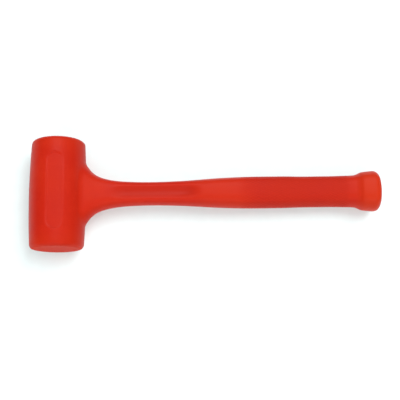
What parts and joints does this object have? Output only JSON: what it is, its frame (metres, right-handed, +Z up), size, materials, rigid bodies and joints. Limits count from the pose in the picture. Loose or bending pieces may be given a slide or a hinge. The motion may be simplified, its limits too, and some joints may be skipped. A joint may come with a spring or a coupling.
{
  "type": "dead blow mallet",
  "caption": "One-piece cast urethane dead blow mallet: barrel head over a sealed steel canister of loose shot, steel-rod handle with oval grip and flared pommel.",
  "frame": {"origin": "bottom centre of the whole mallet's box as it lies on its side, at the height of the surface it lies on", "axes": "+X along the handle from the head to the butt, +Y along the striking axis to the front face, +Z up; the handle runs downhill by 1.63 degrees because the pommel is thinner than the head"},
  "size_m": [0.3218, 0.1, 0.0502],
  "materials": {
    "urethane": "satin orange-red cast urethane, hard rubbery skin",
    "canister_steel": "plain drawn steel",
    "rod_steel": "bright-drawn bar",
    "weld_metal": "as-welded, slightly blued",
    "shot_steel": "tumbled hard steel balls"
  },
  "bodies": {
    "hammer": {"urethane_jacket": "urethane", "canister_tube": "canister_steel", "front_end_cap": "canister_steel", "rear_end_cap": "canister_steel", "front_cap_weld": "weld_metal", "rear_cap_weld": "weld_metal", "rod_boss": "rod_steel", "boss_weld": "weld_metal", "handle_rod": "rod_steel", "rod_weld": "weld_metal"},
    "shot": {"steel_shot": "shot_steel"}
  },
  "joints": [
    {"name": "shot_slide", "type": "slide", "parent": "hammer", "child": "shot", "axis": [0, 1, 0], "range_m": [-0.0122, 0.0122]}
  ]
}
